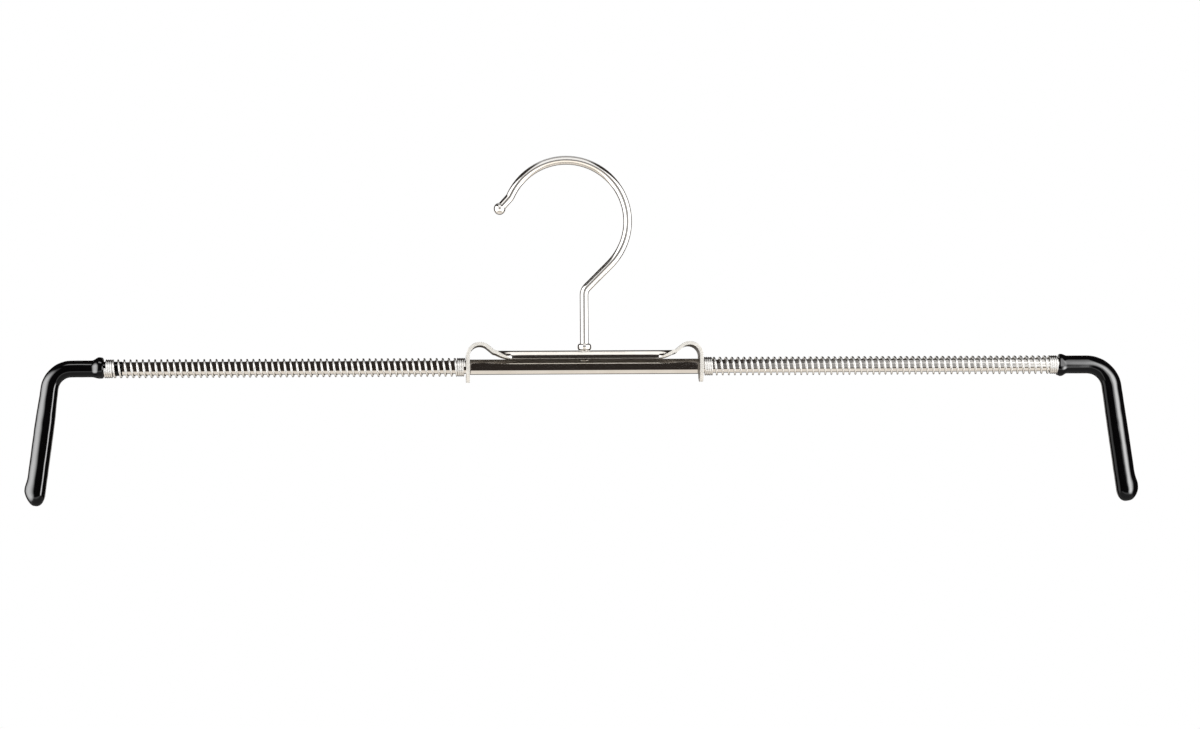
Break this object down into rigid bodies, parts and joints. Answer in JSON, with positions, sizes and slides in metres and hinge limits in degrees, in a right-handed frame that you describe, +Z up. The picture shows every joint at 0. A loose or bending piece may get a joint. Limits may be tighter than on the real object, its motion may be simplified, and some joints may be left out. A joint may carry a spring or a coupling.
{
  "type": "skirt hanger",
  "caption": "Chrome skirt hanger: swivelling wire hook on a folded bracket, with sprung telescoping arms whose vinyl-coated legs press outwards into a waistband.",
  "frame": {"origin": "point on the inside of the hook's bowl, straight above the swivel stem, where a rail carries the hanger with its bar level", "axes": "+X along the bar towards the right arm as the picture shows it, +Y away from the viewer, +Z up along the hook's stem"},
  "size_m": [0.4828, 0.0134, 0.1515],
  "materials": {
    "chrome_plate": "bright nickel-chrome plate",
    "spring_wire": "bright drawn and plated wire",
    "black_vinyl": "glossy dipped vinyl",
    "bush_plastic": "natural nylon"
  },
  "bodies": {
    "hook": {"hook": "chrome_plate"},
    "bracket": {"bracket": "chrome_plate", "guide_tube": "chrome_plate"},
    "left_spring": {"left_spring": "spring_wire"},
    "left_arm": {"left_arm_rod": "chrome_plate", "left_stop_bush": "bush_plastic", "left_arm_coating": "black_vinyl"},
    "right_spring": {"right_spring": "spring_wire"},
    "right_arm": {"right_arm_rod": "chrome_plate", "right_stop_bush": "bush_plastic", "right_arm_coating": "black_vinyl"}
  },
  "joints": [
    {"name": "hook_swivel", "type": "hinge", "parent": "hook", "child": "bracket", "pos_m": [0, 0, -0.08], "axis": [0, 0, 1], "continuous": true},
    {"name": "left_arm_turn", "type": "hinge", "parent": "bracket", "child": "left_spring", "pos_m": [-0.0513, 0, -0.08687], "axis": [1, 0, 0], "continuous": true},
    {"name": "left_arm_slide", "type": "slide", "parent": "left_spring", "child": "left_arm", "axis": [1, 0, 0], "range_m": [0, 0.034], "stiffness_N_per_m": 290, "springref_m": -0.01, "deforming": ["left_spring"]},
    {"name": "right_arm_turn", "type": "hinge", "parent": "bracket", "child": "right_spring", "pos_m": [0.0513, 0, -0.08687], "axis": [1, 0, 0], "continuous": true},
    {"name": "right_arm_slide", "type": "slide", "parent": "right_spring", "child": "right_arm", "axis": [-1, 0, 0], "range_m": [0, 0.034], "stiffness_N_per_m": 290, "springref_m": -0.01, "deforming": ["right_spring"]}
  ]
}
